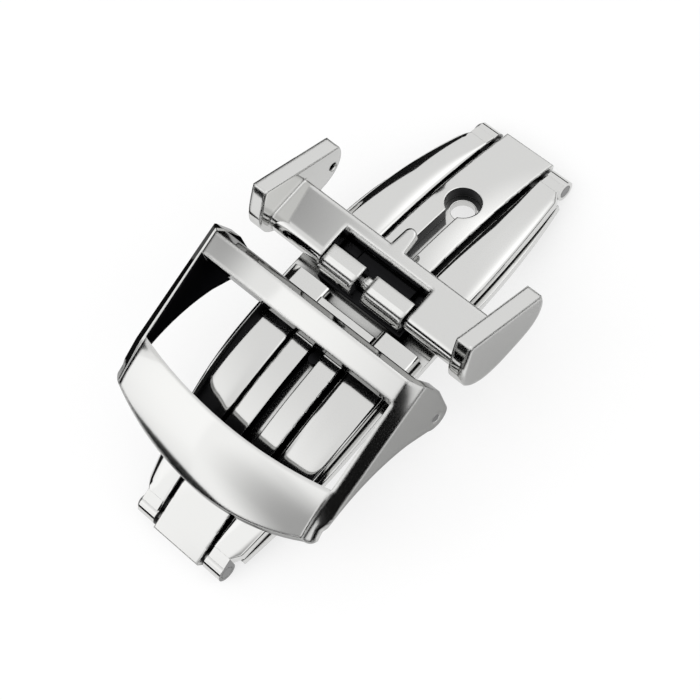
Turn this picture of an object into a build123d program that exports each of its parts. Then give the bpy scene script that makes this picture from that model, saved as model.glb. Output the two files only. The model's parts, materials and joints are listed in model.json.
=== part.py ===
from build123d import *
import os
from math import asin, cos, degrees, radians, sin, sqrt, tan

# A butterfly clasp for a watch strap, shown closed, in millimetres.
# X runs along the strap, from the framed end (negative) to the crossbar end (positive).
# Y runs across the strap, and Z points away from the wrist.
# The origin lies on the surface it stands on, under the middle of the clasp.

# Strap and the gap that takes it
STRAP_WIDTH = 18.0
STRAP_PLAY = 0.4
INNER_HALF = (STRAP_WIDTH + STRAP_PLAY) / 2

# Arched stack: a lower plate, then the band and the arms' strips at one level
HALF_LENGTH = 19.87
ARCH_RADIUS = 47.7
STACK = 1.6
PLATE_THICK = 0.6
BLADE_GAP = 0.05
EDGE_BREAK = 0.12
OVERRUN = 1.0

# Widths across the stack, from the centre line or in from the widest place
BAND_HALF = 2.3
BAND_CLEARANCE = 0.3
MIDDLE_HALF = 6.15
SHOULDER_IN = 1.3
KNUCKLE_IN = 1.9
PLATE_MARGIN = 0.45
WING_IN = 1.4

# Places along the stack, from the ends
SHOULDER_BACK = 2.57
NECK_BACK = 1.87
WING_BACK = 2.37
KEYHOLE_BACK = 7.12

# Places along the stack, from the middle
TAPER_X = 5.0
NEAR_TIP_X = 1.27
NEAR_BRIDGE_TIP_X = 0.5
NEAR_BRIDGE_REAR_X = 2.25
FAR_TIP_X = 1.5
FAR_STRIP_X = 4.3
FAR_BRIDGE_REAR_X = 5.2
BAND_START_GAP = 0.45

# Sprung slot and keyhole in each half of the band, and the catch that enters the slot
SLOT_HALF = 0.55
KEYHOLE_RADIUS = 1.4
KEYHOLE_LOWER_RADIUS = 0.95
CATCH_CLEARANCE = 0.07
CATCH_REACH = 1.1
CATCH_NECK_HALF = 0.3
CATCH_DROP = 0.3

# Fits, on the radius
SEAT_FIT = 0.01
RUNNING_FIT = 0.03

# Hinge pins at the ends of the base
END_PIN_RADIUS = 0.5
END_HEAD_RADIUS = 0.66
END_HEAD_THICK = 0.25

# Crossbar, its hinge barrels and its pin
BAR_AXIS_X = 3.1
BAR_AXIS_RISE = 0.53
BAR_ROLL_RADIUS = 1.03
BAR_THICK = 1.38
BAR_REAR = 3.3
BAR_EDGE = 0.25
CUTOUT_HALF = 4.18
CUTOUT_REAR = 2.1
CUTOUT_BEVEL = 0.3
TAB_REACH = 1.75
TAB_ROOT_HALF = 0.65
TAB_TIP_HALF = 0.48
TAB_THICK = 0.6
BAR_PIN_RADIUS = 0.3
BAR_PIN_REACH = 1.3
BARREL_RADIUS = 0.87
BARREL_FLAT = 0.76
BARREL_BACK = 0.78
BARREL_GAP = 0.05
LEFT_BARREL_LENGTH = 3.15
RIGHT_BARREL_LENGTH = 3.65
COLLAR_RADIUS = 0.6
COLLAR_LENGTH = 1.0
BARREL_END_PLAY = 0.12

# Ears of the crossbar
EAR_THICK = 1.4
EAR_FRONT = 1.65
EAR_LENGTH = 8.45
EAR_HEIGHT = 6.0
EAR_DROP = 1.95
EAR_EDGE = 0.15
EAR_OUTLINE_SHARES = (
    (0.196, 1.0),
    (0.045, 0.67),
    (0.0, 0.4),
    (0.14, 0.135),
    (0.55, 0.0),
    (0.9, 0.085),
    (0.985, 0.24),
    (1.0, 0.42),
)
BAR_BORE_RADIUS = 0.4
EAR_BORE_BACK = 1.15
EAR_BORE_UP = 1.05
BORE_DEPTH = 0.9

# Buckle frame, measured from its hinge pin and from its rear face
FRAME_WALL = 1.0
FRAME_PIN_X = 1.4
FRAME_PIN_SINK = 0.02
FRAME_PIN_RADIUS = 0.35
TUBE_RADIUS = 0.7
TUBE_END_PLAY = 0.15
LUG_RADIUS = 1.15
LUG_FRONT_ANGLE = 60.0
FRAME_LENGTH = 15.76
FRAME_RISE = 6.38
REAR_WAIST_RISE = 2.98
REAR_SHOULDER_RISE = 5.13
REAR_SHOULDER_IN = 0.7
REAR_TOP_IN = 1.33
ROOF_SLOPE = 19.4
TOP_BAR_THICK = 1.4
WINDOW_START = 3.1
WINDOW_REACH = 5.76
WINDOW_BOW = 1.1
LIP_REACH = 5.36
LIP_RADIUS = 17.2
LIP_THICK = 0.75
NOSE_BOW = 2.06
NOSE_CORNER = 1.2
SCOOP_REAR = 3.95
SCOOP_REAR_RISE = 0.65
SCOOP_MIDDLE = 8.1
SCOOP_MIDDLE_RISE = 1.88
SCOOP_REACH = 3.36
BEVEL_REAR_DEPTH = 1.25
BEVEL_LIP_DEPTH = 0.45
BEVEL_CARRY_SHARE = 0.4
FRAME_BORE_FORWARD = 0.75
FRAME_BORE_RISE = 2.55
FRAME_BORE_DEPTH = 0.7

# Radii and heights worked out from the sizes above
R_BOTTOM = ARCH_RADIUS - STACK
R_PLATE = R_BOTTOM + PLATE_THICK
R_BLADE = R_PLATE + BLADE_GAP
KNUCKLE_RADIUS = STACK / 2
R_HINGE = R_BOTTOM + KNUCKLE_RADIUS
END_ANGLE = asin(HALF_LENGTH / ARCH_RADIUS)
HINGE_ANGLE = END_ANGLE - KNUCKLE_RADIUS / R_HINGE
CENTRE_Z = -R_BOTTOM * cos(END_ANGLE)
HINGE_X = R_HINGE * sin(HINGE_ANGLE)
HINGE_Z = CENTRE_Z + R_HINGE * cos(HINGE_ANGLE)
STRIP_INNER = BAND_HALF + BAND_CLEARANCE
SHOULDER_HALF = MIDDLE_HALF - SHOULDER_IN
KNUCKLE_HALF = MIDDLE_HALF - KNUCKLE_IN
WING_HALF = MIDDLE_HALF - WING_IN
SHOULDER_X = HALF_LENGTH - SHOULDER_BACK
NECK_X = HALF_LENGTH - NECK_BACK
WING_X = HALF_LENGTH - WING_BACK
KEYHOLE_X = HALF_LENGTH - KEYHOLE_BACK
CREST_Z = CENTRE_Z + ARCH_RADIUS
BAR_AXIS_Z = CREST_Z + BAR_AXIS_RISE
BAR_TOP_Z = BAR_AXIS_Z + BAR_ROLL_RADIUS
FRAME_PIN_Z = CREST_Z - FRAME_PIN_SINK
FRAME_REAR_X = LUG_RADIUS - FRAME_PIN_X
FRAME_OUTER_HALF = INNER_HALF + FRAME_WALL
BARREL_HALF = CUTOUT_HALF - BARREL_END_PLAY
LIP_START = FRAME_LENGTH - LIP_REACH
WINDOW_END = FRAME_LENGTH - WINDOW_REACH
SCOOP_FRONT = FRAME_LENGTH - SCOOP_REACH


def box(x, y, z):
    """A block between two values of x, two of y and two of z."""
    size = Box(x[1] - x[0], y[1] - y[0], z[1] - z[0])
    return Pos(sum(x) / 2, sum(y) / 2, sum(z) / 2) * size


def rod(radius, x, z, y):
    """A round bar along Y between two values of y."""
    return Pos(x, sum(y) / 2, z) * Rot(90, 0, 0) * Cylinder(radius, y[1] - y[0])


def column(plan, low=-OVERRUN, high=ARCH_RADIUS):
    """A plan outline carried up between two heights."""
    return Pos(0, 0, low) * extrude(plan, amount=high - low)


def wall(side, y):
    """A side outline, drawn in x and z, carried across between two values of y."""
    return Pos(0, sum(y) / 2, 0) * extrude(Plane.XZ * side, amount=(y[1] - y[0]) / 2, both=True)


def arched(solid, low, high):
    """What a solid shares with the arched layer between two radii."""
    width = (-ARCH_RADIUS, ARCH_RADIUS)
    layer = rod(high, 0, CENTRE_Z, width) - rod(low, 0, CENTRE_Z, width)
    return solid & layer


def radial(radius, x):
    """A cutter for a round hole square to the arch at x."""
    turn = degrees(asin(x / ARCH_RADIUS))
    height = STACK + 2 * OVERRUN
    return Pos(0, 0, CENTRE_Z) * Rot(0, turn, 0) * Pos(0, 0, R_HINGE) * Cylinder(radius, height)


def top_face(solid):
    """The face that lies furthest from the centre of the arch."""
    return max(solid.faces(), key=lambda face: (face.center() - Vector(0, 0, CENTRE_Z)).length)


def broken(solid, keep):
    """A solid with the edges of its top face rounded, where keep says so."""
    edges = [edge for edge in top_face(solid).edges() if keep(edge.center())]
    return fillet(edges, EDGE_BREAK)


def taper(half, end_x, end_half):
    """The curved side of a blade, which leaves its parallel middle without a corner."""
    return TangentArc((TAPER_X, half), (end_x, end_half), tangent=(1, 0))


def strip(tip_x):
    """The left strip of the far arm, from its tip to the knuckle on the end pin."""
    outline = Polyline(
        (HINGE_X, STRIP_INNER),
        (tip_x, STRIP_INNER),
        (tip_x, MIDDLE_HALF),
        (TAPER_X, MIDDLE_HALF),
    )
    outline += taper(MIDDLE_HALF, SHOULDER_X, SHOULDER_HALF)
    outline += Polyline(
        (SHOULDER_X, SHOULDER_HALF),
        (NECK_X, KNUCKLE_HALF),
        (HINGE_X, KNUCKLE_HALF),
        (HINGE_X, STRIP_INNER),
    )
    blade = arched(column(make_face(outline)), R_BLADE, ARCH_RADIUS)
    blade = broken(blade, lambda at: at.X < NECK_X)
    blade += rod(KNUCKLE_RADIUS, HINGE_X, HINGE_Z, (STRIP_INNER, KNUCKLE_HALF))
    return blade - end_bore()


def end_bore():
    """The running bore for the far end pin."""
    return rod(END_PIN_RADIUS + RUNNING_FIT, HINGE_X, HINGE_Z, (-MIDDLE_HALF, MIDDLE_HALF))


def end_pin():
    """The far end pin: a shank through the base and both knuckles, with a head on the left."""
    shank = rod(END_PIN_RADIUS, HINGE_X, HINGE_Z, (-KNUCKLE_HALF, KNUCKLE_HALF + SEAT_FIT))
    head_y = (KNUCKLE_HALF + SEAT_FIT, KNUCKLE_HALF + SEAT_FIT + END_HEAD_THICK)
    head = rod(END_HEAD_RADIUS, HINGE_X, HINGE_Z, head_y)
    head = chamfer(head.edges().group_by(Axis.Y)[-1], EDGE_BREAK)
    return shank + head


def base_plate():
    """The arched lower plate, with a hole under each keyhole."""
    half = MIDDLE_HALF + PLATE_MARGIN
    outline = Polyline((0, 0), (0, half), (TAPER_X, half))
    outline += taper(half, WING_X, WING_HALF)
    outline += Polyline((WING_X, WING_HALF), (WING_X, 0), (0, 0))
    quarter = make_face(outline)
    side = quarter + mirror(quarter, about=Plane.YZ)
    plan = side + mirror(side, about=Plane.XZ)
    plate = arched(column(plan), R_BOTTOM, R_PLATE)
    hole = radial(KEYHOLE_LOWER_RADIUS, KEYHOLE_X)
    return plate - hole - mirror(hole, about=Plane.YZ)


def band(start_x):
    """One half of the raised centre band: two sprung tines, a keyhole and the end block."""
    width = (-BAND_HALF, BAND_HALF)
    rise = (-OVERRUN, ARCH_RADIUS)
    blade = arched(box((start_x, HALF_LENGTH), width, rise), R_PLATE, ARCH_RADIUS)
    blade += arched(box((WING_X, HALF_LENGTH), width, rise), R_BOTTOM, ARCH_RADIUS)
    reach = 2 * ARCH_RADIUS
    behind = Pos(-reach / 2, 0, 0) * Box(reach, reach, reach)
    blade &= Pos(0, 0, CENTRE_Z) * Rot(0, degrees(END_ANGLE), 0) * behind
    blade = broken(blade, lambda at: True)
    blade -= box((start_x - OVERRUN, KEYHOLE_X), (-SLOT_HALF, SLOT_HALF), rise)
    blade -= radial(KEYHOLE_RADIUS, KEYHOLE_X)
    return blade - rod(END_PIN_RADIUS + SEAT_FIT, HINGE_X, HINGE_Z, width)


def catch(bridge_rear_x):
    """The catch that hangs from a bridge into the sprung slot, on the far side."""
    radius = SLOT_HALF - CATCH_CLEARANCE
    centre_x = bridge_rear_x + CATCH_REACH
    neck = box((bridge_rear_x, centre_x), (-CATCH_NECK_HALF, CATCH_NECK_HALF), (0, ARCH_RADIUS))
    stud = Pos(centre_x, 0, 0) * Cylinder(radius, ARCH_RADIUS)
    return arched(neck + stud, R_BLADE, ARCH_RADIUS - CATCH_DROP)


def near_bridge():
    """The bridge of the near arm, drawn on the far side, with its seat for the frame's tube."""
    length = (-NEAR_BRIDGE_TIP_X, NEAR_BRIDGE_REAR_X)
    plan = box(length, (-STRIP_INNER, STRIP_INNER), (0, ARCH_RADIUS))
    block = broken(arched(plan, R_BLADE, ARCH_RADIUS), lambda at: abs(at.Y) < EDGE_BREAK)
    return block - tube_seat()


def tube_seat():
    """The groove for the frame's hinge tube, drawn on the far side."""
    return rod(TUBE_RADIUS, FRAME_PIN_X, FRAME_PIN_Z, (-INNER_HALF, INNER_HALF))


def frame_tube():
    """The tube across the near arm that the frame swings on."""
    half = INNER_HALF - TUBE_END_PLAY
    tube = rod(TUBE_RADIUS, -FRAME_PIN_X, FRAME_PIN_Z, (-half, half))
    tube = chamfer(tube.edges().group_by(Axis.Y)[0] + tube.edges().group_by(Axis.Y)[-1], EDGE_BREAK)
    return tube - rod(FRAME_PIN_RADIUS + RUNNING_FIT, -FRAME_PIN_X, FRAME_PIN_Z, (-half, half))


def frame_pin():
    """The pin through the frame's two lugs."""
    ends = (-FRAME_OUTER_HALF, FRAME_OUTER_HALF)
    return rod(FRAME_PIN_RADIUS, -FRAME_PIN_X, FRAME_PIN_Z, ends)


def far_bridge():
    """The bridge of the far arm: a plate under the barrels and a tongue between the strips."""
    rise = (0, ARCH_RADIUS)
    plan = box((FAR_TIP_X, FAR_STRIP_X), (-BARREL_HALF, BARREL_HALF), rise)
    plan += box((FAR_STRIP_X, FAR_BRIDGE_REAR_X), (-STRIP_INNER, STRIP_INNER), rise)
    block = arched(plan, R_BLADE, ARCH_RADIUS)
    block = broken(block, lambda at: at.X < FAR_TIP_X + EDGE_BREAK)
    return block - rod(BARREL_RADIUS, BAR_AXIS_X, BAR_AXIS_Z, (-BARREL_HALF, BARREL_HALF))


def barrel(y):
    """One hinge barrel, round in front and square behind its flat top, between two values of y."""
    x = (BAR_AXIS_X - BARREL_RADIUS, BAR_AXIS_X + BARREL_RADIUS)
    top_z = BAR_AXIS_Z + BARREL_FLAT
    tube = rod(BARREL_RADIUS, BAR_AXIS_X, BAR_AXIS_Z, y)
    tube -= box(x, y, (top_z, BAR_AXIS_Z + BARREL_RADIUS))
    tube += box((BAR_AXIS_X, BAR_AXIS_X + BARREL_BACK), y, (BAR_AXIS_Z, top_z))
    return tube - rod(BAR_PIN_RADIUS + SEAT_FIT, BAR_AXIS_X, BAR_AXIS_Z, y)


def collar(y):
    """The narrow ring between the barrels."""
    ring = rod(COLLAR_RADIUS, BAR_AXIS_X, BAR_AXIS_Z, y)
    return ring - rod(BAR_PIN_RADIUS + SEAT_FIT, BAR_AXIS_X, BAR_AXIS_Z, y)


def crossbar_pin():
    """The pin through the barrels into both sides of the crossbar."""
    half = CUTOUT_HALF + BAR_PIN_REACH
    return rod(BAR_PIN_RADIUS, BAR_AXIS_X, BAR_AXIS_Z, (-half, half))


def bar_side():
    """Side outline of the crossbar: a round front about the hinge, and a flat slab behind it."""
    rear_x = BAR_AXIS_X + BAR_REAR
    low_z = BAR_TOP_Z - BAR_THICK
    drop = BAR_AXIS_Z - low_z
    under = (BAR_AXIS_X + sqrt(BAR_ROLL_RADIUS**2 - drop**2), low_z)
    front = (BAR_AXIS_X - BAR_ROLL_RADIUS, BAR_AXIS_Z)
    outline = ThreePointArc((BAR_AXIS_X, BAR_TOP_Z), front, under)
    outline += Polyline(under, (rear_x, low_z), (rear_x, BAR_TOP_Z), (BAR_AXIS_X, BAR_TOP_Z))
    return make_face(outline)


def crossbar():
    """The crossbar: a rolled front edge, a cutout for the barrels, a tab and two ears."""
    rear_x = BAR_AXIS_X + BAR_REAR
    bar = wall(bar_side(), (-INNER_HALF, INNER_HALF))
    across = bar.edges().filter_by(Axis.Y)
    rear_edges = [edge for edge in across if edge.center().X > rear_x - BAR_EDGE]
    bar = fillet(rear_edges, BAR_EDGE)
    front_x = BAR_AXIS_X - BAR_ROLL_RADIUS - OVERRUN
    cutout_x = BAR_AXIS_X + CUTOUT_REAR
    cutout_z = (BAR_AXIS_Z - BAR_ROLL_RADIUS - OVERRUN, BAR_TOP_Z + OVERRUN)
    bar -= box((front_x, cutout_x), (-CUTOUT_HALF, CUTOUT_HALF), cutout_z)
    bar = chamfer(cutout_edge(bar, cutout_x), CUTOUT_BEVEL)
    bar += tab(rear_x)
    half = CUTOUT_HALF + BAR_PIN_REACH + BARREL_END_PLAY
    bar -= rod(BAR_PIN_RADIUS + RUNNING_FIT, BAR_AXIS_X, BAR_AXIS_Z, (-half, half))
    return bar + ear(1) + ear(-1)


def cutout_edge(bar, x):
    """The top edge of the cutout's rear wall."""
    across = bar.edges().filter_by(Axis.Y)
    return [edge for edge in across if (edge.center() - Vector(x, 0, BAR_TOP_Z)).length < SEAT_FIT]


def tab(rear_x):
    """The short rounded tab behind the crossbar, flush with its top."""
    root_x = rear_x - BAR_EDGE
    tip_x = rear_x + TAB_REACH
    straight_x = tip_x - TAB_TIP_HALF
    outline = Polyline(
        (straight_x, TAB_TIP_HALF),
        (root_x, TAB_ROOT_HALF),
        (root_x, -TAB_ROOT_HALF),
        (straight_x, -TAB_TIP_HALF),
    )
    outline += ThreePointArc((straight_x, -TAB_TIP_HALF), (tip_x, 0), (straight_x, TAB_TIP_HALF))
    return column(make_face(outline), BAR_TOP_Z - TAB_THICK, BAR_TOP_Z)


def ear(side):
    """One ear of the crossbar, on the side given as 1 or -1, with its spring bar bore."""
    front_x = BAR_AXIS_X - EAR_FRONT
    low_z = BAR_AXIS_Z - EAR_DROP
    points = [(front_x + EAR_LENGTH * x, low_z + EAR_HEIGHT * z) for x, z in EAR_OUTLINE_SHARES]
    outline = Spline(*points) + Line(points[-1], points[0])
    plate = wall(make_face(outline), (INNER_HALF, INNER_HALF + EAR_THICK))
    plate = chamfer(plate.edges().group_by(Axis.Y)[-1], EAR_EDGE)
    bore_x = front_x + EAR_LENGTH - EAR_BORE_BACK
    plate -= rod(BAR_BORE_RADIUS, bore_x, low_z + EAR_BORE_UP, (INNER_HALF, INNER_HALF + BORE_DEPTH))
    return plate if side > 0 else mirror(plate, about=Plane.XZ)


def roof_z(x):
    """Height of the frame's sloping flat top at x."""
    return FRAME_PIN_Z + FRAME_RISE + (x - FRAME_REAR_X + REAR_TOP_IN) * tan(radians(ROOF_SLOPE))


def lip_point(angle, depth=0):
    """A point of the lip's rounded top, or of the surface that lies a depth below it."""
    start_x = FRAME_REAR_X - LIP_START
    slope = radians(ROOF_SLOPE)
    centre_x = start_x + LIP_RADIUS * sin(slope)
    centre_z = roof_z(start_x) - LIP_RADIUS * cos(slope)
    radius = LIP_RADIUS - depth
    return (centre_x - radius * sin(radians(angle)), centre_z + radius * cos(radians(angle)))


def lip_angle(x, depth=0):
    """The angle at which the lip's surface reaches x."""
    centre_x = lip_point(0)[0]
    return degrees(asin((centre_x - x) / (LIP_RADIUS - depth)))


def frame_side():
    """Side outline of the frame's walls, from the lug to the lip."""
    rear = FRAME_REAR_X
    pin_z = FRAME_PIN_Z
    scoop_angle = lip_angle(rear - SCOOP_FRONT, LIP_THICK)
    nose_angle = lip_angle(rear - FRAME_LENGTH - OVERRUN)
    scoop_front = lip_point(scoop_angle, LIP_THICK)
    outline = Polyline(
        (-FRAME_PIN_X, pin_z),
        (rear, pin_z),
        (rear, pin_z + REAR_WAIST_RISE),
        (rear - REAR_SHOULDER_IN, pin_z + REAR_SHOULDER_RISE),
        (rear - REAR_TOP_IN, pin_z + FRAME_RISE),
        lip_point(ROOF_SLOPE),
    )
    middle = (ROOF_SLOPE + nose_angle) / 2
    outline += ThreePointArc(lip_point(ROOF_SLOPE), lip_point(middle), lip_point(nose_angle))
    low_middle = (scoop_angle + nose_angle) / 2
    outline += Line(lip_point(nose_angle), lip_point(nose_angle, LIP_THICK))
    low_end = lip_point(nose_angle, LIP_THICK)
    outline += ThreePointArc(low_end, lip_point(low_middle, LIP_THICK), scoop_front)
    scoop_middle = (rear - SCOOP_MIDDLE, pin_z + SCOOP_MIDDLE_RISE)
    scoop_rear = (rear - SCOOP_REAR, pin_z + SCOOP_REAR_RISE)
    outline += ThreePointArc(scoop_front, scoop_middle, scoop_rear)
    lug_angle = radians(LUG_FRONT_ANGLE)
    lug_front = (-FRAME_PIN_X - LUG_RADIUS * sin(lug_angle), pin_z - LUG_RADIUS * cos(lug_angle))
    outline += Polyline(scoop_rear, lug_front, (-FRAME_PIN_X, pin_z))
    return make_face(outline)


def frame_roof():
    """The frame's top between its walls: the bar at the rear and the lip at the front."""
    start_x = FRAME_REAR_X - WINDOW_START
    end_x = FRAME_REAR_X - WINDOW_END
    pin_z = FRAME_PIN_Z
    bar = Polyline(
        (start_x, roof_z(start_x)),
        (FRAME_REAR_X - REAR_TOP_IN, pin_z + FRAME_RISE),
        (FRAME_REAR_X - REAR_SHOULDER_IN, pin_z + REAR_SHOULDER_RISE),
        (start_x, roof_z(start_x) - TOP_BAR_THICK),
        (start_x, roof_z(start_x)),
    )
    nose = lip_angle(FRAME_REAR_X - FRAME_LENGTH - OVERRUN)
    middle = (ROOF_SLOPE + nose) / 2
    lip = Line((end_x, roof_z(end_x)), lip_point(ROOF_SLOPE))
    lip += ThreePointArc(lip_point(ROOF_SLOPE), lip_point(middle), lip_point(nose))
    lip += Line(lip_point(nose), lip_point(nose, LIP_THICK))
    under = lip_point(ROOF_SLOPE, LIP_THICK)
    lip += ThreePointArc(lip_point(nose, LIP_THICK), lip_point(middle, LIP_THICK), under)
    under_z = roof_z(end_x) - LIP_THICK / cos(radians(ROOF_SLOPE))
    lip += Polyline(under, (end_x, under_z), (end_x, roof_z(end_x)))
    width = (-INNER_HALF, INNER_HALF)
    return wall(make_face(bar), width) + wall(make_face(lip), width)


def frame_plan():
    """The frame's outline from above, with its bowed front and rounded corners."""
    half = FRAME_OUTER_HALF
    nose_x = FRAME_REAR_X - FRAME_LENGTH
    shoulder_x = nose_x + NOSE_BOW
    outline = Polyline((shoulder_x + NOSE_CORNER, half), (FRAME_REAR_X + OVERRUN, half))
    outline += Line((FRAME_REAR_X + OVERRUN, half), (FRAME_REAR_X + OVERRUN, -half))
    outline += Line((FRAME_REAR_X + OVERRUN, -half), (shoulder_x + NOSE_CORNER, -half))
    outline += ThreePointArc(
        (shoulder_x + NOSE_CORNER, -half),
        (shoulder_x + NOSE_CORNER * (1 - sqrt(0.5)), -half + FRAME_WALL * (1 - sqrt(0.5))),
        (shoulder_x, -INNER_HALF),
    )
    outline += ThreePointArc((shoulder_x, -INNER_HALF), (nose_x, 0), (shoulder_x, INNER_HALF))
    outline += ThreePointArc(
        (shoulder_x, INNER_HALF),
        (shoulder_x + NOSE_CORNER * (1 - sqrt(0.5)), half - FRAME_WALL * (1 - sqrt(0.5))),
        (shoulder_x + NOSE_CORNER, half),
    )
    return make_face(outline)


def window():
    """Cutter for the frame's window, whose front edge is bowed like the nose."""
    start_x = FRAME_REAR_X - WINDOW_START
    end_x = FRAME_REAR_X - WINDOW_END
    outline = Polyline(
        (end_x, INNER_HALF),
        (start_x, INNER_HALF),
        (start_x, -INNER_HALF),
        (end_x, -INNER_HALF),
    )
    outline += ThreePointArc((end_x, -INNER_HALF), (end_x - WINDOW_BOW, 0), (end_x, INNER_HALF))
    return column(make_face(outline))


def bevel():
    """Cutter for the long bevel on the frame's left shoulder, shallower towards the lip."""
    inner = INNER_HALF
    outer = FRAME_OUTER_HALF
    rear_x = FRAME_REAR_X + OVERRUN
    lip_x = FRAME_REAR_X - LIP_START
    nose_x = FRAME_REAR_X - FRAME_LENGTH
    depth_at_lip = BEVEL_LIP_DEPTH + BEVEL_CARRY_SHARE * (BEVEL_REAR_DEPTH - BEVEL_LIP_DEPTH)
    rows = (
        (rear_x, roof_z(rear_x), BEVEL_REAR_DEPTH),
        (lip_x, roof_z(lip_x), depth_at_lip),
        (nose_x, lip_point(lip_angle(nose_x))[1], BEVEL_LIP_DEPTH),
    )
    sections = []
    for x, z, depth in rows:
        slope = depth / (outer - inner)
        low = Vector(x, outer + OVERRUN, z - depth - OVERRUN * slope)
        corner = Vector(x, inner, z)
        high = Vector(x, outer + OVERRUN, z + FRAME_RISE)
        top = Vector(x, inner, z + FRAME_RISE)
        sections.append(make_face(Polyline(corner, low, high, top, close=True)))
    return loft(sections, ruled=True)


def frame():
    """The buckle frame in one piece: two walls with lugs, the top bar and the lip."""
    pin = (-FRAME_PIN_X, FRAME_PIN_Z)
    body = frame_roof()
    for y in ((INNER_HALF, FRAME_OUTER_HALF), (-FRAME_OUTER_HALF, -INNER_HALF)):
        body += wall(frame_side(), y) + rod(LUG_RADIUS, *pin, y)
    body = (body & column(frame_plan())) - window()
    left = bevel()
    body = body - left - mirror(left, about=Plane.XZ)
    ends = (-FRAME_OUTER_HALF, FRAME_OUTER_HALF)
    body -= rod(FRAME_PIN_RADIUS + SEAT_FIT, *pin, ends)
    bore_half = INNER_HALF + FRAME_BORE_DEPTH
    bore_x = FRAME_REAR_X - FRAME_BORE_FORWARD
    return body - rod(BAR_BORE_RADIUS, bore_x, FRAME_PIN_Z + FRAME_BORE_RISE, (-bore_half, bore_half))


def right(solid):
    """The same piece on the other side of the clasp."""
    return mirror(solid, about=Plane.XZ)


def near(solid):
    """The same piece at the other end of the clasp."""
    return mirror(solid, about=Plane.YZ)


def build():
    """Every piece by name, where it lies when the clasp is closed."""
    far_strip = strip(FAR_STRIP_X)
    near_strip = near(strip(-NEAR_TIP_X) - tube_seat())
    left_end = BARREL_HALF - LEFT_BARREL_LENGTH
    collar_end = left_end - BARREL_GAP - COLLAR_LENGTH
    right_start = collar_end - BARREL_GAP
    return {
        "base_plate": base_plate(),
        "far_band": band(FAR_BRIDGE_REAR_X + BAND_START_GAP),
        "near_band": near(band(NEAR_BRIDGE_REAR_X + BAND_START_GAP)),
        "far_end_pin": end_pin(),
        "near_end_pin": near(end_pin()),
        "far_left_strip": far_strip,
        "far_right_strip": right(far_strip),
        "far_bridge": far_bridge(),
        "far_catch": catch(FAR_BRIDGE_REAR_X),
        "left_barrel": barrel((left_end, BARREL_HALF)),
        "middle_collar": collar((collar_end, left_end - BARREL_GAP)),
        "right_barrel": barrel((right_start - RIGHT_BARREL_LENGTH, right_start)),
        "crossbar_pin": crossbar_pin(),
        "crossbar": crossbar(),
        "near_left_strip": near_strip,
        "near_right_strip": right(near_strip),
        "near_bridge": near(near_bridge()),
        "near_catch": near(catch(NEAR_BRIDGE_REAR_X)),
        "frame_tube": frame_tube(),
        "frame_pin": frame_pin(),
        "frame": frame(),
    }


if __name__ == "__main__":
    os.makedirs("parts", exist_ok=True)
    for name, solid in build().items():
        export_step(solid, f"parts/{name}.step")
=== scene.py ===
import json
from math import cos, pi, radians, sin, tan

import bmesh
import bpy
from mathutils import Matrix, Vector


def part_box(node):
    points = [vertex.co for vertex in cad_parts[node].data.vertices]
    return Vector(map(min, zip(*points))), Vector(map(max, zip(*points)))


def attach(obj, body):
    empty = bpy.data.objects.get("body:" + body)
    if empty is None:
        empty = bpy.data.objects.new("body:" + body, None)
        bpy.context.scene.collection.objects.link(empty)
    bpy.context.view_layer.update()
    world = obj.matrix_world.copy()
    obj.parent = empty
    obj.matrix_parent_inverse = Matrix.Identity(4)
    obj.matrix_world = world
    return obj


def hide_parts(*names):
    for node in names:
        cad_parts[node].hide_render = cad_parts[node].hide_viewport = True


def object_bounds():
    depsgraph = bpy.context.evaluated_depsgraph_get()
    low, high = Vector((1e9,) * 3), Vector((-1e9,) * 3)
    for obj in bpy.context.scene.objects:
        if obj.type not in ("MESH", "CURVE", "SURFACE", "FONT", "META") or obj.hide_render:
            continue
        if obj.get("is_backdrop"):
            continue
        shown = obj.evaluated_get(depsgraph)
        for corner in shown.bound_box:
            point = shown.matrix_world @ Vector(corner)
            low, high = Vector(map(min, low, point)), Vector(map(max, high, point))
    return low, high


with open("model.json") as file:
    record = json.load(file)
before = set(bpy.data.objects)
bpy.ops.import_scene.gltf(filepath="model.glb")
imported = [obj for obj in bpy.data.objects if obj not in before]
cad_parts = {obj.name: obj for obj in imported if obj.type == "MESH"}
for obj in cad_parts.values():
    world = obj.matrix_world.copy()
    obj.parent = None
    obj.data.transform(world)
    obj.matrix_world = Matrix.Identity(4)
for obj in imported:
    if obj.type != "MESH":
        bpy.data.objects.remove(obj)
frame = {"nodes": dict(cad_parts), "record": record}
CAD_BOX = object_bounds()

bl_info = {
    "name": "Polished Butterfly Clasp",
    "version": (1, 0, 0),
    "blender": (4, 5, 0),
    "location": "View3D > Sidebar > Clasp",
    "description": "Dresses the packed butterfly clasp in polished steel and sets its stage",
    "category": "Object",
}

MM = 0.001
WHITE = (1.0, 1.0, 1.0)
BODIES = frame["record"]["behaviour"]["bodies"]
BODY_OF = {node: body for body, nodes in BODIES.items() for node in nodes}
SLOT_OF = {row["node"]: row["material_slot"] for row in frame["record"]["subparts"]}

# The places of a piece's materials: its own polish, then a near-black finish that paints shade,
# then the ground finish
POLISHED, PAINTED_DARK, GROUND = range(3)
# A face that points further down than this is an underside, further aside than the second an end
UNDERSIDE = -0.3
END_FACE = 0.9


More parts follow.
